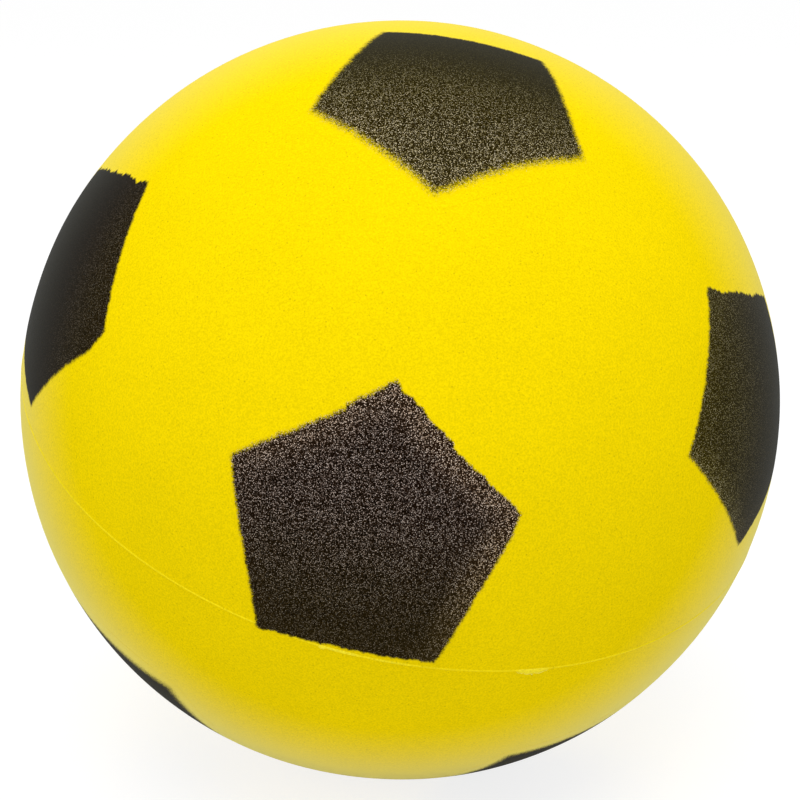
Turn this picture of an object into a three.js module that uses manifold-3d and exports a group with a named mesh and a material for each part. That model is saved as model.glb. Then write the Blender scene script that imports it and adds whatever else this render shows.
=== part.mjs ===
// A moulded foam play ball with twelve sprayed pentagons, in millimetres, +Z up.
// The origin is the ball's centre. -Y runs out through the middle of the front pentagon.

import * as THREE from "three";
import { mergeVertices } from "three/addons/utils/BufferGeometryUtils.js";
import Module from "manifold-3d";

const wasm = await Module();
wasm.setup();

// Driving dimensions of the foam body
const BALL_DIAMETER = 200;
const SKIN_WALL = 1.5; // dense skin that the foam forms against the mould
const BOND_GAP = 0.3; // clearance between layers that are bonded on the real ball
const FLASH_THICKNESS = 0.4; // web of foam squeezed into the mould's parting gap
const CONTACT_DEPTH = 0.8; // how far its own weight flattens the ball where it rests

// Driving dimensions of the printed pentagons
const INK_THICKNESS = 0.2;
const PENTAGON_REACH = 33.5; // from a pentagon's middle to its corners, along the surface

// How the ball lies: the mould's axis leans off +Z, and the print turns about -Y
const MOULD_LEAN = THREE.MathUtils.degToRad(22);
const MOULD_LEAN_TOWARDS = THREE.MathUtils.degToRad(-51); // from +X, counter-clockwise seen from above
const PRINT_TURN = THREE.MathUtils.degToRad(80); // from +X, counter-clockwise seen from the front

// The pentagons sit at the corners of an icosahedron: a front one, two rings of five and a back one
const RING_ANGLE = Math.atan(2); // between neighbouring corners, seen from the centre
const FIFTH_TURN = (2 * Math.PI) / 5;
const RING_COUNT = 5;

// How far the spray masks slipped on the side that shows, in degrees seen from the centre:
// away from the front pentagon, counter-clockwise round it, and twisted about the mask's own middle
const MASK_SLIPS = {
  pentagon_front: { away: -0.3, round: 0.3, twist: 0 },
  pentagon_top: { away: -0.9, round: 0, twist: 0.5 },
  pentagon_left: { away: 0.2, round: -1, twist: 1.5 },
  pentagon_low_left: { away: 3.2, round: 1.2, twist: -1 },
  pentagon_low_right: { away: 5.8, round: -1.7, twist: 0.5 },
  pentagon_right: { away: 0.5, round: 0.7, twist: 1.5 },
};
const EVEN_PLACE = { away: 0, round: 0, twist: 0 };

// Facets
const ROUND_STEPS = 60; // round the mould's axis
const ARC_STEPS = 15; // from the parting plane to a pole
const PENTAGON_STEPS = 4; // from a pentagon's middle to its edges

// Sizes worked out from the ones above
const SKIN_RADIUS = BALL_DIAMETER / 2;
const SKIN_INNER_RADIUS = SKIN_RADIUS - SKIN_WALL;
const CORE_RADIUS = SKIN_INNER_RADIUS - BOND_GAP;
const RIM_HEIGHT = FLASH_THICKNESS / 2 + BOND_GAP;
const INK_INNER_RADIUS = SKIN_RADIUS + BOND_GAP;
const INK_OUTER_RADIUS = INK_INNER_RADIUS + INK_THICKNESS;
const REST_HEIGHT = -(SKIN_RADIUS - CONTACT_DEPTH);

const FOAM = { color: "#f2d21a", roughness: 0.9, metalness: 0 };
const SKIN = { color: "#f6dc00", roughness: 0.75, metalness: 0 };
const FLASH = { color: "#f9e64a", roughness: 0.8, metalness: 0 };
const INK = { color: "#2f2a24", roughness: 0.85, metalness: 0 };

// Keeps only the positions of a geometry, with shared corners joined
function joinCorners(geometry) {
  geometry.deleteAttribute("normal");
  geometry.deleteAttribute("uv");
  return mergeVertices(geometry);
}

// Turns a profile about the mould's axis and leans it as the ball lies
function turnAboutMouldAxis(profile) {
  const geometry = new THREE.LatheGeometry(profile, ROUND_STEPS);
  geometry.rotateX(Math.PI / 2);
  geometry.rotateY(MOULD_LEAN);
  geometry.rotateZ(MOULD_LEAN_TOWARDS);
  return joinCorners(geometry);
}

// Quarter circle from a height above the parting plane up to the pole, on one grid of angles for
// every layer, so that the facets of neighbouring layers run parallel
function quarterArc(radius, startHeight) {
  const points = [new THREE.Vector2(Math.sqrt(radius ** 2 - startHeight ** 2), startHeight)];
  for (let step = 1; step <= ARC_STEPS; step += 1) {
    const angle = (step / ARC_STEPS) * (Math.PI / 2);
    points.push(new THREE.Vector2(radius * Math.cos(angle), radius * Math.sin(angle)));
  }
  return points;
}

// The same points mirrored below the parting plane, in the opposite order
function mirrored(points) {
  return points.map((point) => new THREE.Vector2(point.x, -point.y)).reverse();
}

function toSolid(geometry) {
  const mesh = new wasm.Mesh({
    numProp: 3,
    vertProperties: Float32Array.from(geometry.getAttribute("position").array),
    triVerts: Uint32Array.from(geometry.getIndex().array),
  });
  return new wasm.Manifold(mesh);
}

function fromSolid(solid) {
  const mesh = solid.getMesh();
  const geometry = new THREE.BufferGeometry();
  geometry.setAttribute("position", new THREE.BufferAttribute(mesh.vertProperties, 3));
  geometry.setIndex(new THREE.BufferAttribute(mesh.triVerts, 1));
  return geometry;
}

// Everything below the surface that the ball rests on
function restingBlock() {
  const side = BALL_DIAMETER;
  const block = new THREE.BoxGeometry(side, side, side);
  block.translate(0, 0, REST_HEIGHT - side / 2);
  return joinCorners(block);
}

function makeCore() {
  const upper = quarterArc(CORE_RADIUS, 0);
  const lower = mirrored(upper).slice(0, -1);
  return turnAboutMouldAxis([...lower, ...upper]);
}

// Half of the skin in section, from its inside at the pole round the rim to its outside at the pole
function skinProfile() {
  const inside = quarterArc(SKIN_INNER_RADIUS, RIM_HEIGHT).reverse();
  const outside = quarterArc(SKIN_RADIUS, RIM_HEIGHT);
  return [...inside, ...outside];
}

function makeUpperSkin() {
  return turnAboutMouldAxis(skinProfile());
}

// The lower half carries the small flat where the ball rests
function makeLowerSkin() {
  const bowl = turnAboutMouldAxis(mirrored(skinProfile()));
  return fromSolid(toSolid(bowl).subtract(toSolid(restingBlock())));
}

function makeFlash() {
  const half = FLASH_THICKNESS / 2;
  const section = [
    new THREE.Vector2(SKIN_INNER_RADIUS, -half),
    new THREE.Vector2(SKIN_RADIUS, -half),
    new THREE.Vector2(SKIN_RADIUS, half),
    new THREE.Vector2(SKIN_INNER_RADIUS, half),
    new THREE.Vector2(SKIN_INNER_RADIUS, -half),
  ];
  return turnAboutMouldAxis(section);
}

// Pentagon on the unit sphere round +Z, its edges on great circles and its first corner at an angle from +X
function pentagonPatch(firstCorner) {
  const reach = PENTAGON_REACH / SKIN_RADIUS;
  const corners = [0, 0, 1];
  const faces = [];
  for (let corner = 0; corner < RING_COUNT; corner += 1) {
    const angle = firstCorner + corner * FIFTH_TURN;
    corners.push(Math.sin(reach) * Math.cos(angle), Math.sin(reach) * Math.sin(angle), Math.cos(reach));
    faces.push(0, 1 + corner, 1 + ((corner + 1) % RING_COUNT));
  }
  return joinCorners(new THREE.PolyhedronGeometry(corners, faces, 1, PENTAGON_STEPS - 1));
}

// Closes a patch of the unit sphere into a film between two radii, with walls along its open edges
function filmBetween(patch, innerRadius, outerRadius) {
  const place = patch.getAttribute("position");
  const index = patch.getIndex();
  const points = [];
  for (const radius of [outerRadius, innerRadius]) {
    for (let corner = 0; corner < place.count; corner += 1) {
      const point = new THREE.Vector3().fromBufferAttribute(place, corner).setLength(radius);
      points.push(...point.toArray());
    }
  }
  const edges = new Set();
  const faces = [];
  for (let first = 0; first < index.count; first += 3) {
    const [a, b, c] = [index.getX(first), index.getX(first + 1), index.getX(first + 2)];
    faces.push(a, b, c, place.count + a, place.count + c, place.count + b);
    for (const edge of [[a, b], [b, c], [c, a]]) {
      edges.add(edge.join(" "));
    }
  }
  for (const edge of edges) {
    const [from, to] = edge.split(" ").map(Number);
    if (!edges.has(`${to} ${from}`)) {
      faces.push(to, from, place.count + from, to, place.count + from, place.count + to);
    }
  }
  const film = new THREE.BufferGeometry();
  film.setAttribute("position", new THREE.Float32BufferAttribute(points, 3));
  film.setIndex(faces);
  return film;
}

// A named piece with its own material
function piece(name, geometry, finish) {
  const mesh = new THREE.Mesh(geometry, new THREE.MeshStandardMaterial(finish));
  mesh.name = name;
  return mesh;
}

// One printed pentagon, placed by its angle from the front one, its turn round it and its mask's slip
function makePentagon({ name, fromFront, around, firstCorner }) {
  const slip = MASK_SLIPS[name] ?? EVEN_PLACE;
  const patch = pentagonPatch(firstCorner + THREE.MathUtils.degToRad(slip.twist));
  const pentagon = piece(name, filmBetween(patch, INK_INNER_RADIUS, INK_OUTER_RADIUS), INK);
  const tilt = fromFront + THREE.MathUtils.degToRad(slip.away);
  pentagon.rotation.set(-THREE.MathUtils.degToRad(slip.round), tilt, around, "ZYX");
  return pentagon;
}

// Where each pentagon belongs. Corners of neighbouring pentagons point at each other.
function pentagonPlaces() {
  const nearRing = ["top", "left", "low_left", "low_right", "right"];
  const farRing = ["rear_top", "rear_left", "rear_low", "rear_low_right", "rear_right"];
  const places = [{ name: "pentagon_front", fromFront: 0, around: 0, firstCorner: 0 }];
  for (let turn = 0; turn < RING_COUNT; turn += 1) {
    places.push({
      name: `pentagon_${nearRing[turn]}`,
      fromFront: RING_ANGLE,
      around: turn * FIFTH_TURN,
      firstCorner: FIFTH_TURN / 2,
    });
    places.push({
      name: `pentagon_${farRing[turn]}`,
      fromFront: Math.PI - RING_ANGLE,
      around: (turn + 0.5) * FIFTH_TURN,
      firstCorner: 0,
    });
  }
  places.push({ name: "pentagon_back", fromFront: Math.PI, around: 0, firstCorner: 0 });
  return places;
}

// The print's own +Z is the front pentagon's middle, which faces -Y on the ball
function makePrint() {
  const print = new THREE.Group();
  print.rotation.set(Math.PI / 2, 0, PRINT_TURN, "XYZ");
  for (const place of pentagonPlaces()) {
    print.add(makePentagon(place));
  }
  return print;
}

const ball = new THREE.Group();
ball.add(piece("foam_core", makeCore(), FOAM));
ball.add(piece("skin_upper", makeUpperSkin(), SKIN));
ball.add(piece("skin_lower", makeLowerSkin(), SKIN));
ball.add(piece("parting_flash", makeFlash(), FLASH));
ball.add(makePrint());

export default ball;
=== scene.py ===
"""Looks of a moulded foam ball with twelve sprayed pentagons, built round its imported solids.

Lengths are millimetres in the frame of the solids, and become metres where Blender takes them.
"""

import math
from typing import NamedTuple

import bmesh
import bpy
import numpy as np
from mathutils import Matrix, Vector


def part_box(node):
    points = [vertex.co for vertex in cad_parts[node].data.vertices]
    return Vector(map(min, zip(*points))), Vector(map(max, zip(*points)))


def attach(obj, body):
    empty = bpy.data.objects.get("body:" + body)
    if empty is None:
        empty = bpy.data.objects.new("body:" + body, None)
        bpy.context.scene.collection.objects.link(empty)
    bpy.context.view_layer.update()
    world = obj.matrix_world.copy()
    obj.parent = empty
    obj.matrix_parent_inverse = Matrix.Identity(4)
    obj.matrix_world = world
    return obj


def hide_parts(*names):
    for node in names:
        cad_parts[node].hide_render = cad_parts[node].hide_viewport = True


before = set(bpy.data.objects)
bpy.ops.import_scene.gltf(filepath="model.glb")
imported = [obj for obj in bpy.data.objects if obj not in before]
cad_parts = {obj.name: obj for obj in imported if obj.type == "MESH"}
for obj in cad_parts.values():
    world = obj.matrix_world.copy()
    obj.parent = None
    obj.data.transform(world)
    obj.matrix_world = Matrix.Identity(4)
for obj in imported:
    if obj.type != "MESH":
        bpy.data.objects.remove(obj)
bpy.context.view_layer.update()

MM = 0.001
SEED = 7
FULL_TURN = 2 * math.pi
FRONT = np.array([0.0, -1.0, 0.0])
UP = np.array([0.0, 0.0, 1.0])

# The camera: degrees, its distance in ball radii, and the ball's width as a share of the frame
CAMERA_AZIMUTH = 3.87
CAMERA_ELEVATION = 16.76
CAMERA_DISTANCE = 4.15
BALL_SHARE = 0.9491
SENSOR_WIDTH = 36.0
CLIP_NEAR = 10  # nothing nearer is seen
CLIP_FAR = 100000

# The light from all round, and a round lamp above in front
FRONT_LIGHT = 0.69
BACK_LIGHT = 0.53
KEY_TOWARDS = Vector((-0.02, -0.36, 0.93)).normalized()  # from the ball
KEY_DISTANCE = 1600
KEY_SIZE = 1400
KEY_POWER = 14.7  # watts

# The floor
FLOOR_REACH = 30000
FLOOR_GAP = 0.02  # below the flat that the ball rests on
FLOOR_BOUNCE = 0.77  # grey that lights the ball from below
FLOOR_GREY = 0.3  # grey that is seen, and takes the ball's shadow
FLOOR_GLOW = 0.81  # white that is added to it

# The skin
SKIN_STEPS = 96  # quads across one half
CREASE_ANGLE = 50  # degrees, above which an edge looks sharp
RIM_HEIGHT = 0.22  # of each half's rim above the parting plane
SWELL = 0.05  # how far the moulded skin swells and sinks
SWELL_WAVES = 14
SWELL_TURNS = (6, 20)  # radians that the longest and the shortest wave go through over one ball radius
REST_EDGE = 0.15  # rounding round the flat that the ball rests on

# The core
CORE_STEPS = 48  # quads across one half
CORE_LUMP = 0.15  # how far its lumps rise and fall
LUMP_RANGE = 3  # swells of the skin that make the highest lump
WELD_REACH = 0.01  # points closer than this become one

# The ink's films
FILM_STEPS = 112  # quads across one pentagon
FILM_CROWDING = 0.35  # how much closer the quads lie near a film's rim, where the ink ends
FILM_MARGIN = 0.8  # bare film outside the last of the ink
WIDEST_FILM = 0.6  # radians from a pentagon's middle to a place well outside its film
HALVINGS = 30  # steps in the search for a film's rim
RIM_RISE = 0.012  # how far a film's bare rim stands off the skin
INK_RISE = 0.05  # how much further the ink on it does
INK_SOAK = 0.08  # how deep a film goes into the skin
CORNER_SOFTNESS = 0.12  # rounding of the mask's corners
RIM_SOFTNESS = 2.0  # rounding of the film's own corners
FEATHER_BLEND = 1.0  # reach over which one edge's feather passes into the next one's
THIN_BLEND = 3.0  # the same for how thin the ink lies
CORNER_SLACK = 1e-4  # how much the cosines of a solid's corners, seen from the middle, may differ
CORNER_GAP = 0.5  # radians round the middle that two corners lie apart at least

# The flash along the parting line
FLASH_STEPS = 1440  # quads round the ball
FLASH_ROOT = 1.2  # depth of the web inside the skin
FLASH_HALF = 0.18  # half its thickness there
FLASH_TUCK = 0.02  # depth at which it widens into a ridge
FLASH_FOOT = 0.24  # half the ridge's width on the skin
FLASH_SEAT = RIM_RISE / 2  # height of the ridge's feet
FLASH_CREST = 0.11
FLASH_UNEVEN = 0.02  # how far the crest rises and falls
FLASH_WAVES = (8, 16, 28)  # how many times it does so round the ball
TEAR_JAG = 0.2  # how ragged a torn bit is
TEAR_ROUNDNESS = 0.6  # power of its outline, which is less for fuller ends
TORN_HEIGHTS = (0.02, 0.12)  # between which the web turns from whole to torn
TORN_CLEAR = 30  # takes a torn bit right out of the ink

# The ridge between its feet, from below: shares of the crest, of the foot and of a torn bit's reach
LOWER_RIDGE = ((0.6, -0.9, 0.9), (1, -0.7, 0.6))
UPPER_RIDGE = ((1, -0.3, 0.2), (0.5, 0.35, 0.7))


def colour(red, green, blue):
    """An opaque colour from linear red, green and blue."""
    return (red, green, blue, 1.0)


def grey(level):
    """An opaque grey of one brightness."""
    return colour(level, level, level)


# Foam, in the skin and its pits, which are darkened with painted shade, along the parting line, and
# inside
SKIN_YELLOW = colour(0.945, 0.72, 0.001)
SKIN_PIT_SHADE = colour(0.58, 0.43, 0.004)
# The web's paler yellow is partly a painted highlight where its ridge catches the light
FLASH_YELLOW = colour(1.0, 0.8, 0.008)
TORN_YELLOW = colour(1.0, 0.84, 0.03)
CORE_YELLOW = colour(0.88, 0.65, 0.02)

# Ink lying dense or a little thinner, in black or olive
INK_BLACK = colour(0.002, 0.001, 0.0005)
INK_BROWN = colour(0.018, 0.009, 0.004)
INK_OLIVE = colour(0.012, 0.0085, 0.001)
INK_MOSS = colour(0.036, 0.027, 0.003)

# Specks in the ink, partly foam that shows through and partly painted glints: in black ink, at a thin
# edge, in olive ink, and the brightest ones
SPECK_BROWN = colour(0.9, 0.63, 0.5)
SPECK_TAN = colour(0.92, 0.56, 0.25)
SPECK_OLIVE = colour(0.88, 0.73, 0.08)
SPECK_WHITE = colour(1.0, 0.95, 0.88)

# Sheen painted into the colour where a surface turns away from the eye: 0 is square to it and 1 is edge
# on
PAINTED_FOAM_SHEEN = colour(0.92, 0.86, 0.3)
PAINTED_FOAM_SHEEN_START = 0.5
LOWER_PAINTED_SHEEN = 0.9  # how strong the foam's painted sheen is at the bottom of the ball, painted stronger low down as light from below
UPPER_PAINTED_SHEEN = 0.27
# The ink's painted sheen: grey where it turns from the eye
PAINTED_INK_SHEEN = colour(0.052, 0.052, 0.045)
PAINTED_INK_SHEEN_START = 0.4
SHEEN_WEIGHT = 0.06
SHEEN_SPREAD = 0.24

# Foam grain: ranges of the noise that count, and tones that add up to a factor on the colour
GRAIN_SIZE = 0.42
GRAIN_RANGE = (0.25, 0.75)
GRAIN_TONE = (0.89, 1.09)
DRIFT_SIZE = 24
DRIFT_RANGE = (0.2, 0.8)
DRIFT_TONE = (-0.015, 0.015)
PIT_SPACING = 1.15
PIT_SLOPE = (0.24, 0.06)  # from a pit's rim to its floor, in shares of the spacing
PIT_CHOICE = (0.2, 1.0)  # numbers of the cells that have the faintest and the clearest pits
PIT_SHADE = 0.65  # how far the clearest pit darkens to its painted shade
PIT_DEPTH = 0.8  # against the height of the grain

# Sprayed ink: droplets along its edge, and mottle and specks all over it, the specks partly painted
# glints
DROPLET_SIZE = 0.42
DROPLET_ROUGHNESS = 0.6  # weight of the finest droplets
DROPLET_MIDDLE = 0.5  # noise that moves the edge neither way
DROPLET_SCATTER = 1.5  # how far it moves the edge, in feathers
COVER_RANGE = (-0.5, 0.5)  # feathers inside the outline at which the ink starts and is full
MOTTLE_SIZE = 0.3
MOTTLE_RANGE = (0.3, 0.75)
THIN_BAND = (9.0, 0.4)  # depths inside an edge between which the ink gets thinner
SPECK_SIZE = 0.27
SPECK_SLOPE = (0.5, 0.1)  # from a speck's rim to its middle, in shares of its size
SPECK_CONTRAST = 1.1  # power that makes bright specks rarer
SPECK_PALENESS = 0.55  # how pale the brightest ones get
SPECK_STRENGTH = (0.64, 1.52)  # in deep ink, and at a thin edge

# Finish: bumps in millimetres, and roughness from low to high grain or from bare to inked foam
SKIN_BUMP = 0.015
CORE_BUMP = 0.15
ROUGHNESS_RANGE = (0.2, 0.8)  # heights of the grain that count
SKIN_ROUGHNESS = (0.95, 0.85)
CORE_ROUGHNESS = (1.0, 0.9)
INK_ROUGHNESS = (0.9, 0.75)


class Edge(NamedTuple):
    """One edge of a sprayed pentagon, clockwise from corner to corner."""

    feather: float = 1.2  # width over which the ink thins out
    ragged: float = 0.15  # how far the mask's edge wanders
    line: tuple = ((0, 0), (1, 0))  # shares of the edge, and how far outside the mask the ink ends there
    thin: float = 0.3  # how much thinner the ink lies in a band inside the edge


class Coat(NamedTuple):
    """How the ink lies on one pentagon, with its painted glints: pairs of numbers are for the side where
    the glints show strongly and the side where they fade, as the surface turns from the light and the
    eye.
    """

    olive: tuple = (0.4, 0.4)  # 0 for black ink with brown specks, 1 for olive ink and specks
    glint: tuple = (0.9, 0.4)  # how strongly the specks' painted glints show
    towards: float = 170  # clock angle in degrees, seen from outside, of the side where the painted glints fade
    start: float = -10  # from the pentagon's middle
    end: float = 28


class Tear(NamedTuple):
    """A torn bit of flash."""

    at: float  # degrees round the mould from the front
    span: float  # degrees
    up: float  # how far it lies over the upper skin
    down: float  # how far it lies over the lower skin
    tall: float  # how far it stands above the crest


# Edges clockwise from the first corner past twelve o'clock
EDGES = {
    "pentagon_front": (
        Edge(
            0.7,
            0.2,
            ((0, 1.0), (0.07, 0.2), (0.12, 0.9), (0.25, 0.25), (0.45, 0.25), (0.465, -0.6), (1, 0.1)),
            thin=0.75,
        ),
        Edge(1.0, 0.12, ((0, 0), (0.12, 0.4), (0.55, 0.1), (1, 0.8)), thin=0.95),
        Edge(
            0.8,
            0.2,
            ((0, 1.3), (0.3, 0.9), (0.53, 0.3), (0.8, 0.6), (0.93, 0.7), (1, 1.2)),
            thin=0.1,
        ),
        Edge(1.1, 0.12, ((0, 1.1), (0.06, 0.6), (0.28, -0.1), (0.5, -0.35), (1, -0.3)), thin=0.1),
        Edge(
            1.5,
            0.15,
            ((0, 0.5), (0.15, 0.45), (0.5, -0.3), (0.71, -0.5), (0.73, 0.1), (1, 0.4)),
            thin=0.6,
        ),
    ),
    "pentagon_top": (
        Edge(1.8, 0.15, ((0, 0.3), (0.15, 0.3), (0.5, -0.35), (0.75, -0.5), (1, 0)), thin=0),
        Edge(3.4, 0.2, ((0, -0.3), (0.2, -0.6), (0.45, -1.1), (0.7, -0.8), (1, -0.3))),
        Edge(3.4, 0.2, ((0, -0.5), (0.3, -0.8), (0.6, -0.7), (0.85, -0.2), (1, -0.3))),
        Edge(2.0, 0.15, ((0, -0.7), (0.25, -0.4), (0.6, -0.2), (0.85, 0.5), (1, 0.8)), thin=0),
        Edge(1.3, 0.12, ((0, 1.6), (0.15, 1.3), (0.45, 0.6), (0.85, 0.5), (1, 1.0)), thin=0),
    ),
    "pentagon_left": (
        Edge(1.1, 0.12, ((0, 1.2), (0.1, 1.5), (0.4, 0.7), (0.65, 0), (0.85, -0.6), (1, -1.0)), thin=0),
        Edge(1.2, 0.12, ((0, -1.4), (0.18, 0.5), (0.3, 0), (0.55, -1.0), (1, -1.7)), thin=0),
        Edge(1.0, 0.12, ((0, 1.6), (1, 2.0)), thin=0),
        Edge(1.0, 0.12, ((0, 2.0), (1, 2.0)), thin=0),
        Edge(
            0.7,
            0.4,
            ((0, 1.6), (0.2, 1.0), (0.55, -0.1), (0.8, -0.1), (0.9, -1.1), (1, -0.6)),
            thin=0,
        ),
    ),
    "pentagon_right": (
        Edge(1.2, 0.2, ((0, 2.0), (1, 3.0))),
        Edge(0.9, 0.12, ((0, 4.2), (0.3, 3.2), (0.7, 2.3), (1, 2.3)), thin=1.2),
        Edge(1.3, 0.12, ((0, 0), (0.5, 0.1), (1, 0.7)), thin=0.7),
        Edge(1.3, 0.15, ((0, 0.7), (0.3, 0.5), (0.7, 0.6), (1, 1.3))),
        Edge(
            0.7,
            0.3,
            ((0, 0.9), (0.06, 0.3), (0.08, -0.4), (0.45, -0.3), (0.56, -1.0), (0.73, -0.2), (1, 0.1)),
        ),
    ),
    "pentagon_low_left": (
        Edge(4.6, 0.1, ((0, -0.6), (1, -1.8))),
        Edge(),
        Edge(),
        Edge(),
        Edge(5.2, 0.1, ((0, -4.8), (0.5, -2.8), (1, -0.6))),
    ),
    "pentagon_low_right": (
        Edge(),
        Edge(),
        Edge(),
        Edge(3.4, 0.1, ((0, -2.0), (1, -0.2))),
        Edge(3.8, 0.1, ((0, -0.2), (0.5, -2.2), (1, -5.0))),
    ),
}
OTHER_EDGES = (Edge(1.1, 0.15), Edge(2.4, 0.2), Edge(0.8, 0.3), Edge(1.4, 0.12), Edge(1.0, 0.2))
COATS = {
    "pentagon_front": Coat((0, 0.4), (1.4, 0.42), 185, -12, 28),
    "pentagon_top": Coat((0.68, 1), (1.9, 0.15), 20, -18, 20),
    "pentagon_left": Coat((0.4, 0), (0.4, 0.06), 272, -24, -2),
    "pentagon_right": Coat((1, 0.7), (0.85, 0.5), 95, -16, 8),
    "pentagon_low_left": Coat((0.5, 0.5), (0.3, 0.1), 70, 0, 20),
    "pentagon_low_right": Coat((0.5, 0.5), (0.3, 0.1), 307, 0, 20),
}
TEARS = (
    Tear(25.7, 4.6, 0, 1.5, 0.22),
    Tear(-2.0, 0.9, 0.2, 0.6, 0.28),
    Tear(0.4, 5.6, 0.16, 0.14, 0.15),
    Tear(6.8, 8.0, 0.05, 0.06, 0.08),
    Tear(119, 2.4, 0.3, 1.0, 0.25),
    Tear(-142, 1.6, 0.9, 0.2, 0.25),
)


# Directions and distances

def unit(ways):
    """The same directions with length one."""
    return ways / np.linalg.norm(ways, axis=-1, keepdims=True)


def vertices(node):
    """A solid's corners in millimetres."""
    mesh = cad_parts[node].data
    flat = np.zeros(len(mesh.vertices) * 3)
    mesh.vertices.foreach_get("co", flat)
    return flat.reshape(-1, 3) / MM


def smooth_step(values, low, high):
    """0 below low, 1 above high, and an even curve between them."""
    share = np.clip((values - low) / (high - low), 0, 1)
    return share * share * (3 - 2 * share)


def soft_least(rows, softness):
    """The least of each column, rounded off where two rows come close."""
    return -softness * np.logaddexp.reduce(-rows / softness, axis=0)


def nearness(depths, reach):
    """Each edge's share at every point: the nearest counts most, and others within a reach of it."""
    weights = np.exp((depths.min(axis=0) - depths) / reach)
    return weights / weights.sum(axis=0)


def wander(along, rng, waves=6, longest=9.0, shortest=1.6):
    """An irregular line about zero: a sum of waves with seeded places."""
    total = np.zeros_like(along)
    for length in np.geomspace(longest, shortest, waves):
        total += np.sin(FULL_TURN * along / length + rng.uniform(0, FULL_TURN))
    return total / math.sqrt(waves)


skin_reach = np.linalg.norm(vertices("skin_upper"), axis=1)
BALL_RADIUS = skin_reach.max()
SKIN_INNER_RADIUS = skin_reach.min()
CORE_RADIUS = np.linalg.norm(vertices("foam_core"), axis=1).max()
REST_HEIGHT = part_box("skin_lower")[0].z / MM


def mould_frame():
    """The mould's axis, and two directions in the parting plane: to the front, and beside that."""
    flash = vertices("parting_flash")
    axis = np.linalg.eigh(np.cov(flash.T))[1][:, 0]
    axis = axis * np.sign(vertices("skin_upper").mean(axis=0) @ axis)
    ahead = unit(FRONT - (FRONT @ axis) * axis)
    return axis, ahead, np.cross(axis, ahead)


MOULD_AXIS, MOULD_AHEAD, MOULD_SIDE = mould_frame()


def skin_radius(ways):
    """How far out the moulded skin lies in each direction, with its gentle swells."""
    rng = np.random.default_rng(SEED)
    swell = np.zeros(len(ways))
    for _ in range(SWELL_WAVES):
        towards = unit(rng.normal(size=3))
        swell += np.sin(rng.uniform(*SWELL_TURNS) * (ways @ towards) + rng.uniform(0, FULL_TURN))
    return BALL_RADIUS + SWELL * swell / math.sqrt(SWELL_WAVES)


def settled(points):
    """The same points, none lower than the surface that the ball rests on."""
    height = (points[:, 2] - REST_HEIGHT) / REST_EDGE
    raised = REST_HEIGHT + REST_EDGE * np.logaddexp(0, height)
    return np.column_stack([points[:, :2], raised])


class Pentagon:
    """Where one sprayed pentagon lies, and how much ink a point of the skin gets from it."""

    def __init__(self, node, order):
        ways = unit(vertices(node))
        self.node = node
        self.order = order
        self.edges = EDGES.get(node, OTHER_EDGES)
        self.coat = COATS.get(node, Coat())
        self.centre = unit(ways.mean(axis=0))
        self.up = unit(UP - (UP @ self.centre) * self.centre)
        self.right = np.cross(self.up, self.centre)
        self.starts = self.find_corners(ways)
        ends = np.roll(self.starts, -1, axis=0)
        self.inward = unit(np.cross(ends, self.starts))
        self.onward = np.cross(self.starts, self.inward)
        self.spans = np.arccos((self.starts * ends).sum(axis=1))

    def find_corners(self, ways):
        """The five directions farthest from the middle, clockwise from twelve o'clock."""
        closeness = ways @ self.centre
        far = ways[closeness < closeness.min() + CORNER_SLACK]
        clock = np.arctan2(far @ self.right, far @ self.up) % FULL_TURN
        corners = []
        last = -FULL_TURN
        for place in np.argsort(clock):
            if clock[place] - last > CORNER_GAP:
                corners.append(far[place])
                last = clock[place]
        return np.array(corners)

    def mask_depths(self, ways):
        """Distance inside each edge of the mask: one row for each edge."""
        return BALL_RADIUS * np.arcsin(np.clip(self.inward @ ways.T, -1, 1))

    def ink_depths(self, ways):
        """Distance inside each edge of the ink, which creeps and wanders along the mask's edge."""
        rng = np.random.default_rng(SEED + self.order)
        depths = self.mask_depths(ways)
        for index, edge in enumerate(self.edges):
            along = np.arctan2(ways @ self.onward[index], ways @ self.starts[index])
            shares, outside = np.array(edge.line).T
            depths[index] += np.interp(along / self.spans[index], shares, outside)
            depths[index] += edge.ragged * wander(BALL_RADIUS * along, rng)
        return depths

    def measure(self, ways):
        """One row for each of the spray's numbers: what SPRAY_LABELS names, in that order."""
        depths = self.ink_depths(ways)
        depth = soft_least(depths, CORNER_SOFTNESS)
        feather = np.array([edge.feather for edge in self.edges]) @ nearness(depths, FEATHER_BLEND)
        thin = np.array([edge.thin for edge in self.edges]) @ nearness(depths, THIN_BLEND)
        turn = math.radians(self.coat.towards)
        outwards = math.cos(turn) * self.up + math.sin(turn) * self.right
        # Share of the way to the side where the painted glints fade, as the surface turns from the light
        # and the eye
        side_share = smooth_step(BALL_RADIUS * (ways @ outwards), self.coat.start, self.coat.end)
        glint = np.interp(side_share, (0, 1), self.coat.glint)
        olive = np.interp(side_share, (0, 1), self.coat.olive)
        return np.array([depth, feather, thin, glint, olive])

    def ray(self, turns, angles):
        """Directions at clock angles and angles from the middle, both in radians."""
        sideways = np.outer(np.cos(turns), self.up) + np.outer(np.sin(turns), self.right)
        return np.cos(angles)[:, None] * self.centre + np.sin(angles)[:, None] * sideways

    def rim_angles(self, turns):
        """How far from the middle the film ends, safely outside the last of the ink."""
        margins = [
            FILM_MARGIN + edge.feather + edge.ragged + max(outside for _, outside in edge.line)
            for edge in self.edges
        ]
        near = np.zeros_like(turns)
        far = np.full_like(turns, WIDEST_FILM)
        for _ in range(HALVINGS):
            middle = (near + far) / 2
            depths = self.mask_depths(self.ray(turns, middle)) + np.array(margins)[:, None]
            inside = soft_least(depths, RIM_SOFTNESS) > 0
            near = np.where(inside, middle, near)
            far = np.where(inside, far, middle)
        return near


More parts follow.
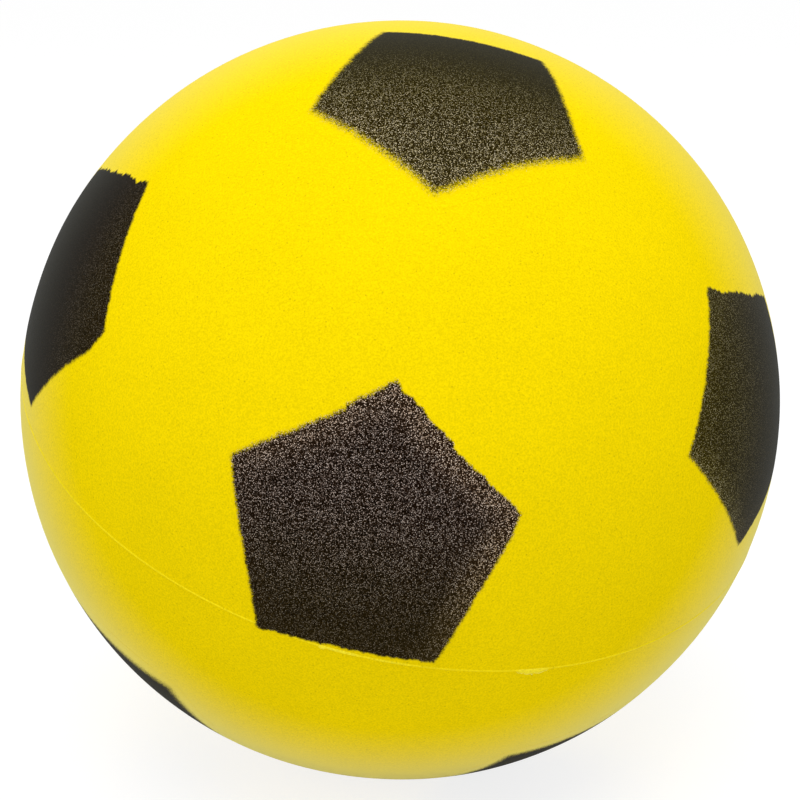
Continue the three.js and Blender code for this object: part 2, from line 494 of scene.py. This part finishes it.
SPRAY_LABELS = (
    "spray_depth",  # millimetres inside the ink's outline
    "spray_feather",  # width over which the ink thins out there
    "spray_thin",  # how much thinner the ink lies inside the nearest edge
    "spray_glint",  # how strongly the specks' painted glints show
    "spray_olive",  # how olive the ink and its specks are
)
PENTAGONS = [
    Pentagon(node, order)
    for order, node in enumerate(sorted(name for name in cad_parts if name.startswith("pentagon")))
]


# Meshes

def disc_grid(steps):
    """A square grid bent into a disc with no crowded pole: each point's reach and turn, and the quads."""
    span = np.linspace(-1, 1, steps + 1)
    across, along = (side.ravel() for side in np.meshgrid(span, span, indexing="ij"))
    wide = np.abs(across) > np.abs(along)
    safe_across = np.where(wide, across, 1)
    safe_along = np.where(np.abs(along) > 0, along, 1)
    reach = np.where(wide, across, along)
    turn = np.where(wide, along / safe_across, 2 - across / safe_along) * math.pi / 4
    first = (np.arange(steps)[:, None] * (steps + 1) + np.arange(steps)).ravel()
    quads = np.column_stack([first, first + steps + 1, first + steps + 2, first + 1])
    return np.abs(reach), np.where(reach < 0, turn + math.pi, turn), quads


def close_shell(outer, inner, quads):
    """Joins an outer and an inner sheet of the same quads by a wall along their open edge."""
    count = len(outer)
    faces = quads.tolist() + (quads[:, ::-1] + count).tolist()
    sides = {(quad[corner], quad[(corner + 1) % 4]) for quad in quads.tolist() for corner in range(4)}
    for start, end in sorted(sides):
        if (end, start) not in sides:
            faces.append([end, start, start + count, end + count])
    return np.vstack([outer, inner]), faces


def make_piece(name, points, faces, material, values=None):
    """A smooth mesh object from points in millimetres, with named numbers on its points."""
    mesh = bpy.data.meshes.new(name)
    mesh.from_pydata((points * MM).tolist(), [], faces)
    mesh.validate()
    mesh.shade_smooth()
    mesh.set_sharp_from_angle(angle=math.radians(CREASE_ANGLE))
    for label, numbers in (values or {}).items():
        attribute = mesh.attributes.new(label, "FLOAT", "POINT")
        attribute.data.foreach_set("value", np.asarray(numbers, dtype=np.float32))
    mesh.materials.append(material)
    piece = bpy.data.objects.new(name, mesh)
    bpy.context.scene.collection.objects.link(piece)
    return piece


def place_piece(piece, node):
    """Attaches a piece to the ball's root so that it moves with the ball, and hides the solid that it
    stands for.
    """
    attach(piece, "root")
    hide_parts(node)


def weld(piece):
    """Joins points of a mesh that lie on top of each other."""
    shape = bmesh.new()
    shape.from_mesh(piece.data)
    bmesh.ops.remove_doubles(shape, verts=shape.verts, dist=WELD_REACH * MM)
    shape.to_mesh(piece.data)
    shape.free()


def dome(axis, radius, rim_height, steps):
    """Directions over one half of the ball, from its pole down to a rim above the parting plane."""
    reach, turn, quads = disc_grid(steps)
    angle = reach * math.acos(rim_height / radius)
    side = unit(np.cross(axis, MOULD_AHEAD))
    ahead = np.cross(side, axis)
    level = np.outer(np.cos(turn), ahead) + np.outer(np.sin(turn), side)
    return np.cos(angle)[:, None] * axis + np.sin(angle)[:, None] * level, quads


def make_core(material):
    """The soft foam inside, a little lumpy under the skin."""
    upper, quads = dome(MOULD_AXIS, CORE_RADIUS, 0, CORE_STEPS)
    lower = upper - 2 * np.outer(upper @ MOULD_AXIS, MOULD_AXIS)
    ways = np.vstack([upper, lower])
    lumps = (skin_radius(ways) - BALL_RADIUS) / (LUMP_RANGE * SWELL)
    points = ways * (CORE_RADIUS - CORE_LUMP + CORE_LUMP * lumps)[:, None]
    faces = quads.tolist() + (quads[:, ::-1] + len(upper)).tolist()
    piece = make_piece("foam_core_body", points, faces, material)
    weld(piece)
    place_piece(piece, "foam_core")


def make_skin(node, axis, material):
    """One half of the dense skin: a bowl that ends just short of the parting plane."""
    outer_ways, quads = dome(axis, BALL_RADIUS, RIM_HEIGHT, SKIN_STEPS)
    inner_ways, _ = dome(axis, SKIN_INNER_RADIUS, RIM_HEIGHT, SKIN_STEPS)
    outer = settled(outer_ways * skin_radius(outer_ways)[:, None])
    points, faces = close_shell(outer, inner_ways * SKIN_INNER_RADIUS, quads)
    piece = make_piece(f"{node}_foam", points, faces, material)
    place_piece(piece, node)


def make_film(pentagon, material):
    """One sprayed pentagon: a thin film that stands off the skin and soaks into it."""
    reach, turn, quads = disc_grid(FILM_STEPS)
    spread = reach * (1 + FILM_CROWDING - FILM_CROWDING * reach**2)
    ways = pentagon.ray(-turn, pentagon.rim_angles(-turn) * spread)
    measured = pentagon.measure(ways)
    depth, feather = measured[:2]
    skin = skin_radius(ways)
    rise = RIM_RISE + INK_RISE * smooth_step(depth, -feather, feather)
    outer = settled(ways * (skin + rise)[:, None])
    inner = settled(ways * (skin - INK_SOAK)[:, None])
    points, faces = close_shell(outer, inner, quads)
    values = dict(zip(SPRAY_LABELS, np.tile(measured, 2)))
    piece = make_piece(f"{pentagon.node}_ink", points, faces, material, values)
    place_piece(piece, pentagon.node)


def spray_on(ways):
    """Ink that any of the pentagons leaves on a point: the deepest one counts."""
    measured = np.array([pentagon.measure(ways) for pentagon in PENTAGONS])
    deepest = measured[:, 0].argmax(axis=0)
    return dict(zip(SPRAY_LABELS, measured[deepest, :, np.arange(len(ways))].T))


def tear_sizes(turn):
    """How far the torn bits of flash reach up, down and out at each angle round the mould."""
    rng = np.random.default_rng(SEED)
    sizes = np.zeros((3, len(turn)))
    for tear in TEARS:
        off = (np.degrees(turn) - tear.at + 180) % 360 - 180
        jags = wander(BALL_RADIUS * turn, rng, waves=4, longest=2.5, shortest=0.9)
        outline = np.clip(1 - (2 * off / tear.span) ** 2, 0, 1) ** TEAR_ROUNDNESS
        swell = outline * (1 - TEAR_JAG + TEAR_JAG * jags)
        sizes = np.maximum(sizes, np.outer((tear.up, tear.down, tear.tall), swell))
    return sizes


def flash_section(crest, up, down):
    """The web's outline all round the ball: pairs of height off the skin and place across the line."""
    still = np.zeros_like(crest)
    lower = [(rise * crest, foot * FLASH_FOOT - reach * down) for rise, foot, reach in LOWER_RIDGE]
    upper = [(rise * crest, foot * FLASH_FOOT + reach * up) for rise, foot, reach in UPPER_RIDGE]
    return [
        (still - FLASH_ROOT, still - FLASH_HALF),
        (still - FLASH_TUCK, still - FLASH_HALF),
        (still + FLASH_SEAT, -FLASH_FOOT - down),
        *lower,
        *upper,
        (still + FLASH_SEAT, FLASH_FOOT + up),
        (still - FLASH_TUCK, still + FLASH_HALF),
        (still - FLASH_ROOT, still + FLASH_HALF),
    ]


def make_flash(material):
    """The web along the parting line: a low uneven ridge that leans over, and torn bits of it."""
    turn = np.linspace(-math.pi, math.pi, FLASH_STEPS, endpoint=False)
    level = np.outer(np.cos(turn), MOULD_AHEAD) + np.outer(np.sin(turn), MOULD_SIDE)
    rng = np.random.default_rng(SEED)
    waves = [np.sin(count * turn + rng.uniform(0, FULL_TURN)) for count in FLASH_WAVES]
    up, down, tall = tear_sizes(turn)
    crest = FLASH_CREST + FLASH_UNEVEN * np.mean(waves, axis=0) + tall
    section = flash_section(crest, up, down)
    rows = []
    for out, across in section:
        ways = unit(level + np.outer(across / BALL_RADIUS, MOULD_AXIS))
        rows.append(ways * (skin_radius(ways) + out)[:, None])
    points = np.vstack(rows)
    values = spray_on(unit(points))
    values["torn"] = np.tile(smooth_step(tall, *TORN_HEIGHTS), len(section))
    values["spray_depth"] -= TORN_CLEAR * values["torn"]
    faces = []
    for row in range(len(section)):
        below = row * FLASH_STEPS
        above = (row + 1) % len(section) * FLASH_STEPS
        for step in range(FLASH_STEPS):
            after = (step + 1) % FLASH_STEPS
            faces.append([below + step, below + after, above + after, above + step])
    piece = make_piece("parting_flash_web", points, faces, material, values)
    place_piece(piece, "parting_flash")


# Shader nodes

# Places of a colour Mix node's sockets, whose names repeat for each kind of value
MIX_SHARE = 0
MIX_FIRST = 6
MIX_SECOND = 7
MIX_RESULT = 2


class Graph:
    """Adds nodes to one tree and links them, so that a finish reads as a list of steps."""

    def __init__(self, tree):
        self.tree = tree

    def feed(self, socket, value):
        """Links another node's output to a socket, or sets a plain value on it."""
        if isinstance(value, bpy.types.NodeSocket):
            self.tree.links.new(value, socket)
        else:
            socket.default_value = value

    def node(self, kind, inputs=None, **settings):
        """A new node with its settings and named inputs."""
        made = self.tree.nodes.new(kind)
        for name, value in settings.items():
            setattr(made, name, value)
        for name, value in (inputs or {}).items():
            self.feed(made.inputs[name], value)
        return made

    def math(self, operation, *values):
        """A sum, product or the like of two values."""
        made = self.node("ShaderNodeMath", operation=operation)
        for socket, value in zip(made.inputs, values):
            self.feed(socket, value)
        return made.outputs["Value"]

    def ramp(self, value, low, high, low_result=0.0, high_result=1.0):
        """An even curve from one result at low to another at high, and flat beyond them."""
        inputs = {
            "Value": value,
            "From Min": low,
            "From Max": high,
            "To Min": low_result,
            "To Max": high_result,
        }
        made = self.node("ShaderNodeMapRange", inputs, interpolation_type="SMOOTHSTEP")
        return made.outputs["Result"]

    def mix(self, share, first, second):
        """Two colours mixed, with the second one's share."""
        made = self.node("ShaderNodeMix", data_type="RGBA")
        self.feed(made.inputs[MIX_SHARE], share)
        self.feed(made.inputs[MIX_FIRST], first)
        self.feed(made.inputs[MIX_SECOND], second)
        return made.outputs[MIX_RESULT]

    def scaled(self, tint, factor):
        """A colour made darker or brighter."""
        inputs = {"Vector": tint, "Scale": factor}
        return self.node("ShaderNodeVectorMath", inputs, operation="SCALE").outputs["Vector"]

    def noise(self, vector, size, detail, roughness=0.5):
        """Cloudy noise whose features are about a size in millimetres."""
        inputs = {"Vector": vector, "Scale": 1 / (size * MM), "Detail": detail, "Roughness": roughness}
        return self.node("ShaderNodeTexNoise", inputs).outputs["Fac"]

    def cells(self, vector, size):
        """Round cells about a size in millimetres: distance from a cell's middle, and its own number."""
        made = self.node("ShaderNodeTexVoronoi", {"Vector": vector, "Scale": 1 / (size * MM)})
        number = self.node("ShaderNodeSeparateColor", {"Color": made.outputs["Color"]})
        return made.outputs["Distance"], number.outputs["Red"]

    def group(self, tree, inputs):
        """A node group placed with its own inputs."""
        made = self.node("ShaderNodeGroup", node_tree=tree)
        for name, value in inputs.items():
            self.feed(made.inputs[name], value)
        return made.outputs

    def attribute(self, label):
        """A named number on the mesh's points."""
        return self.node("ShaderNodeAttribute", attribute_name=label).outputs["Fac"]


def new_group(name, inputs, outputs):
    """A shader node group with named sockets, its graph, and its two ends."""
    tree = bpy.data.node_groups.new(name, "ShaderNodeTree")
    for label, kind in inputs.items():
        tree.interface.new_socket(label, in_out="INPUT", socket_type=f"NodeSocket{kind}")
    for label, kind in outputs.items():
        tree.interface.new_socket(label, in_out="OUTPUT", socket_type=f"NodeSocket{kind}")
    graph = Graph(tree)
    start = graph.node("NodeGroupInput").outputs
    end = graph.node("NodeGroupOutput").inputs
    return tree, graph, start, end


def foam_grain_group():
    """Fine grain, slow drift and sparse pits of a moulded foam surface, tinted by a base colour, with
    painted shade in the pits.
    """
    tree, graph, start, end = new_group(
        "Foam grain",
        {"Vector": "Vector", "Colour": "Color", "Pit shade colour": "Color"},
        {"Colour": "Color", "Height": "Float"},
    )
    fine = graph.noise(start["Vector"], GRAIN_SIZE, detail=2.0)
    drift = graph.noise(start["Vector"], DRIFT_SIZE, detail=1.0)
    distance, number = graph.cells(start["Vector"], PIT_SPACING)
    hollow = graph.ramp(distance, *PIT_SLOPE)
    chosen = graph.ramp(number, *PIT_CHOICE)
    pits = graph.math("MULTIPLY", hollow, chosen)
    fine_tone = graph.ramp(fine, *GRAIN_RANGE, *GRAIN_TONE)
    drift_tone = graph.ramp(drift, *DRIFT_RANGE, *DRIFT_TONE)
    tinted = graph.scaled(start["Colour"], graph.math("ADD", fine_tone, drift_tone))
    # Painted shade: the pits darken towards the pit colour
    shade = graph.math("MULTIPLY", pits, PIT_SHADE)
    graph.feed(end["Colour"], graph.mix(shade, tinted, start["Pit shade colour"]))
    graph.feed(end["Height"], graph.math("SUBTRACT", fine, graph.math("MULTIPLY", pits, PIT_DEPTH)))
    return tree


def sprayed_ink_group():
    """Ink sprayed through a mask: how much of it covers a point, and its speckled colour there, with
    specks that are partly painted glints.
    """
    tree, graph, start, end = new_group(
        "Sprayed ink",
        {name: "Float" for name in ("Depth", "Feather", "Thin", "Glint", "Olive")} | {"Vector": "Vector"},
        {"Coverage": "Float", "Colour": "Color", "Height": "Float"},
    )
    vector = start["Vector"]
    olive = start["Olive"]
    droplets = graph.noise(vector, DROPLET_SIZE, detail=2.0, roughness=DROPLET_ROUGHNESS)
    inside = graph.math("DIVIDE", start["Depth"], start["Feather"])
    off_middle = graph.math("SUBTRACT", droplets, DROPLET_MIDDLE)
    scatter = graph.math("MULTIPLY", off_middle, DROPLET_SCATTER)
    graph.feed(end["Coverage"], graph.ramp(graph.math("ADD", inside, scatter), *COVER_RANGE))

    mottle = graph.ramp(graph.noise(vector, MOTTLE_SIZE, detail=1.0), *MOTTLE_RANGE)
    thin_edge = graph.math("MULTIPLY", graph.ramp(start["Depth"], *THIN_BAND), start["Thin"])
    dense = graph.mix(olive, INK_BLACK, INK_OLIVE)
    thinner = graph.mix(olive, INK_BROWN, INK_MOSS)
    ink = graph.mix(graph.math("ADD", mottle, thin_edge), dense, thinner)

    # Specks: partly foam that shows through the ink, partly painted glints of light
    distance, number = graph.cells(vector, SPECK_SIZE)
    speck = graph.ramp(distance, *SPECK_SLOPE)
    own = graph.math("POWER", number, SPECK_CONTRAST)
    dim = graph.mix(olive, graph.mix(thin_edge, SPECK_BROWN, SPECK_TAN), SPECK_OLIVE)
    bare = graph.mix(graph.math("MULTIPLY", own, SPECK_PALENESS), dim, SPECK_WHITE)
    bright = graph.math("MULTIPLY", own, graph.ramp(thin_edge, 0.0, 1.0, *SPECK_STRENGTH))
    shown = graph.math("MULTIPLY", graph.math("MULTIPLY", speck, bright), start["Glint"])
    graph.feed(end["Colour"], graph.mix(shown, ink, bare))
    graph.feed(end["Height"], graph.math("ADD", mottle, speck))
    return tree


# Materials

def new_material(name):
    """A material's graph, its Principled shader and the part's own coordinates."""
    material = bpy.data.materials.new(name)
    material.use_nodes = True
    graph = Graph(material.node_tree)
    shader = material.node_tree.nodes["Principled BSDF"]
    vector = graph.node("ShaderNodeTexCoord").outputs["Object"]
    return material, graph, shader, vector


def turning_away(graph, start):
    """0 up to a start, and 1 where the surface turns right away from the eye."""
    facing = graph.node("ShaderNodeLayerWeight", {"Blend": 0.5}).outputs["Facing"]
    return graph.ramp(facing, start, 1.0)


def with_painted_sheen(graph, vector, foam_colour):
    """Foam with a pale sheen painted into its colour where it turns from the eye, painted stronger low
    down as light from below.
    """
    height = graph.node("ShaderNodeSeparateXYZ", {"Vector": vector}).outputs["Z"]
    reach = BALL_RADIUS * MM
    # Painted light: the painted sheen is stronger towards the bottom of the ball
    painted_sheen_by_height = graph.ramp(height, -reach, reach, LOWER_PAINTED_SHEEN, UPPER_PAINTED_SHEEN)
    share = graph.math("MULTIPLY", turning_away(graph, PAINTED_FOAM_SHEEN_START), painted_sheen_by_height)
    return graph.mix(share, foam_colour, PAINTED_FOAM_SHEEN)


def finish_shader(graph, shader, height, bump_height):
    """A matt surface with a faint sheen, and a bump of a height in millimetres."""
    shader.inputs["Specular IOR Level"].default_value = 0.0
    shader.inputs["Sheen Weight"].default_value = SHEEN_WEIGHT
    shader.inputs["Sheen Roughness"].default_value = SHEEN_SPREAD
    bump = graph.node("ShaderNodeBump", {"Height": height, "Distance": bump_height * MM, "Strength": 1.0})
    graph.feed(shader.inputs["Normal"], bump.outputs["Normal"])


def bare_foam(graph, shader, vector, grain, foam_colour, roughness, bump_height):
    """Foam of one colour with nothing on it."""
    foam = graph.group(grain, {"Vector": vector, "Colour": foam_colour, "Pit shade colour": SKIN_PIT_SHADE})
    graph.feed(shader.inputs["Base Color"], with_painted_sheen(graph, vector, foam["Colour"]))
    graph.feed(shader.inputs["Roughness"], graph.ramp(foam["Height"], *ROUGHNESS_RANGE, *roughness))
    finish_shader(graph, shader, foam["Height"], bump_height)


def foam_skin_material(grain):
    """The dense moulded skin."""
    material, graph, shader, vector = new_material("foam_skin")
    bare_foam(graph, shader, vector, grain, SKIN_YELLOW, SKIN_ROUGHNESS, SKIN_BUMP)
    return material


def foam_core_material(grain):
    """The soft foam inside, with a coarser surface."""
    material, graph, shader, vector = new_material("foam_body")
    bare_foam(graph, shader, vector, grain, CORE_YELLOW, CORE_ROUGHNESS, CORE_BUMP)
    return material


def spray_inputs(graph, vector):
    """What the ink's group needs: the place, and the spray's numbers on the mesh."""
    inputs = {"Vector": vector}
    for label in SPRAY_LABELS:
        inputs[label.removeprefix("spray_").capitalize()] = graph.attribute(label)
    return inputs


def inked_foam(graph, shader, vector, grain, spray, foam_colour):
    """Foam of one colour under sprayed ink, each with its own sheen painted into its colour."""
    foam = graph.group(grain, {"Vector": vector, "Colour": foam_colour, "Pit shade colour": SKIN_PIT_SHADE})
    ink = graph.group(spray, spray_inputs(graph, vector))
    cover = ink["Coverage"]
    bare = with_painted_sheen(graph, vector, foam["Colour"])
    # Painted sheen: the ink turns grey where it turns from the eye
    inked = graph.mix(turning_away(graph, PAINTED_INK_SHEEN_START), ink["Colour"], PAINTED_INK_SHEEN)
    graph.feed(shader.inputs["Base Color"], graph.mix(cover, bare, inked))
    graph.feed(shader.inputs["Roughness"], graph.ramp(cover, 0.0, 1.0, *INK_ROUGHNESS))
    height = graph.math("ADD", foam["Height"], graph.math("MULTIPLY", cover, ink["Height"]))
    finish_shader(graph, shader, height, SKIN_BUMP)


def sprayed_ink_material(grain, spray):
    """Ink on the skin, bare skin round it, and droplets between the two."""
    material, graph, shader, vector = new_material("sprayed_ink")
    inked_foam(graph, shader, vector, grain, spray, SKIN_YELLOW)
    return material


def foam_flash_material(grain, spray):
    """The web along the parting line, paler than the skin, partly as thin foam and partly as a painted
    highlight on its ridge, and palest where it is torn.
    """
    material, graph, shader, vector = new_material("foam_flash")
    web = graph.mix(graph.attribute("torn"), FLASH_YELLOW, TORN_YELLOW)
    inked_foam(graph, shader, vector, grain, spray, web)
    return material


# Stage, light and camera

def seen_directly(graph):
    """1 for what is seen, also in a mirror or through glass, and 0 for what only lights the ball."""
    path = graph.node("ShaderNodeLightPath").outputs
    mirrored = graph.math("MAXIMUM", path["Is Glossy Ray"], path["Is Transmission Ray"])
    return graph.math("MAXIMUM", path["Is Camera Ray"], mirrored)


def floor_material():
    """Grey where the floor lights the ball, and nearly white with a soft shadow where it is seen."""
    material = bpy.data.materials.new("pale_floor")
    material.use_nodes = True
    tree = material.node_tree
    tree.nodes.clear()
    graph = Graph(tree)
    lit = graph.node("ShaderNodeBsdfDiffuse", {"Color": grey(FLOOR_BOUNCE)})
    shown = graph.node("ShaderNodeBsdfDiffuse", {"Color": grey(FLOOR_GREY)})
    glow = graph.node("ShaderNodeEmission", {"Strength": FLOOR_GLOW})
    pale = graph.node("ShaderNodeAddShader")
    tree.links.new(shown.outputs["BSDF"], pale.inputs[0])
    tree.links.new(glow.outputs["Emission"], pale.inputs[1])
    chosen = graph.node("ShaderNodeMixShader", {"Fac": seen_directly(graph)})
    tree.links.new(lit.outputs["BSDF"], chosen.inputs[1])
    tree.links.new(pale.outputs["Shader"], chosen.inputs[2])
    end = graph.node("ShaderNodeOutputMaterial")
    tree.links.new(chosen.outputs["Shader"], end.inputs["Surface"])
    return material


def make_floor():
    """A wide pale floor at the height on which the ball rests, which keeps the ball's shadow."""
    reach = FLOOR_REACH * MM
    height = (REST_HEIGHT - FLOOR_GAP) * MM
    mesh = bpy.data.meshes.new("floor")
    sides = ((-reach, -reach), (reach, -reach), (reach, reach), (-reach, reach))
    corners = [(across, along, height) for across, along in sides]
    mesh.from_pydata(corners, [], [(0, 1, 2, 3)])
    floor = bpy.data.objects.new("floor", mesh)
    bpy.context.scene.collection.objects.link(floor)
    mesh.materials.append(floor_material())


def make_light():
    """Soft light from all round, weaker from behind, and a large lamp above in front."""
    world = bpy.data.worlds.new("studio")
    world.use_nodes = True
    graph = Graph(world.node_tree)
    way = graph.node("ShaderNodeTexCoord").outputs["Generated"]
    behind = graph.node("ShaderNodeSeparateXYZ", {"Vector": way}).outputs["Y"]
    soft = graph.ramp(behind, -1.0, 1.0, FRONT_LIGHT, BACK_LIGHT)
    strength = graph.ramp(seen_directly(graph), 0.0, 1.0, soft, 1.0)
    background = world.node_tree.nodes["Background"]
    background.inputs["Color"].default_value = grey(1)
    graph.feed(background.inputs["Strength"], strength)
    bpy.context.scene.world = world

    lamp = bpy.data.lights.new("key", "AREA")
    lamp.shape = "DISK"
    lamp.size = KEY_SIZE * MM
    lamp.energy = KEY_POWER
    key = bpy.data.objects.new("key", lamp)
    key.location = KEY_TOWARDS * (KEY_DISTANCE * MM)
    key.rotation_euler = KEY_TOWARDS.to_track_quat("Z", "Y").to_euler()
    bpy.context.scene.collection.objects.link(key)


def make_camera():
    """A camera that looks at the ball's middle from in front and a little above."""
    azimuth = math.radians(CAMERA_AZIMUTH)
    elevation = math.radians(CAMERA_ELEVATION)
    level = math.cos(elevation)
    back = Vector((math.sin(azimuth) * level, -math.cos(azimuth) * level, math.sin(elevation)))
    lens = bpy.data.cameras.new("camera")
    lens.sensor_width = SENSOR_WIDTH
    lens.lens = SENSOR_WIDTH * BALL_SHARE / 2 * math.sqrt(CAMERA_DISTANCE**2 - 1)
    lens.clip_start = CLIP_NEAR * MM
    lens.clip_end = CLIP_FAR * MM
    camera = bpy.data.objects.new("camera", lens)
    camera.location = back * (CAMERA_DISTANCE * BALL_RADIUS * MM)
    camera.rotation_euler = back.to_track_quat("Z", "Y").to_euler()
    bpy.context.scene.collection.objects.link(camera)
    bpy.context.scene.camera = camera


def main():
    """The stage, then the foam from the inside out, then the ink on it."""
    bpy.context.scene.view_settings.view_transform = "Standard"
    make_camera()
    make_light()
    make_floor()

    grain = foam_grain_group()
    spray = sprayed_ink_group()
    skin = foam_skin_material(grain)
    make_core(foam_core_material(grain))
    make_skin("skin_upper", MOULD_AXIS, skin)
    make_skin("skin_lower", -MOULD_AXIS, skin)
    make_flash(foam_flash_material(grain, spray))
    ink = sprayed_ink_material(grain, spray)
    for pentagon in PENTAGONS:
        make_film(pentagon, ink)


main()
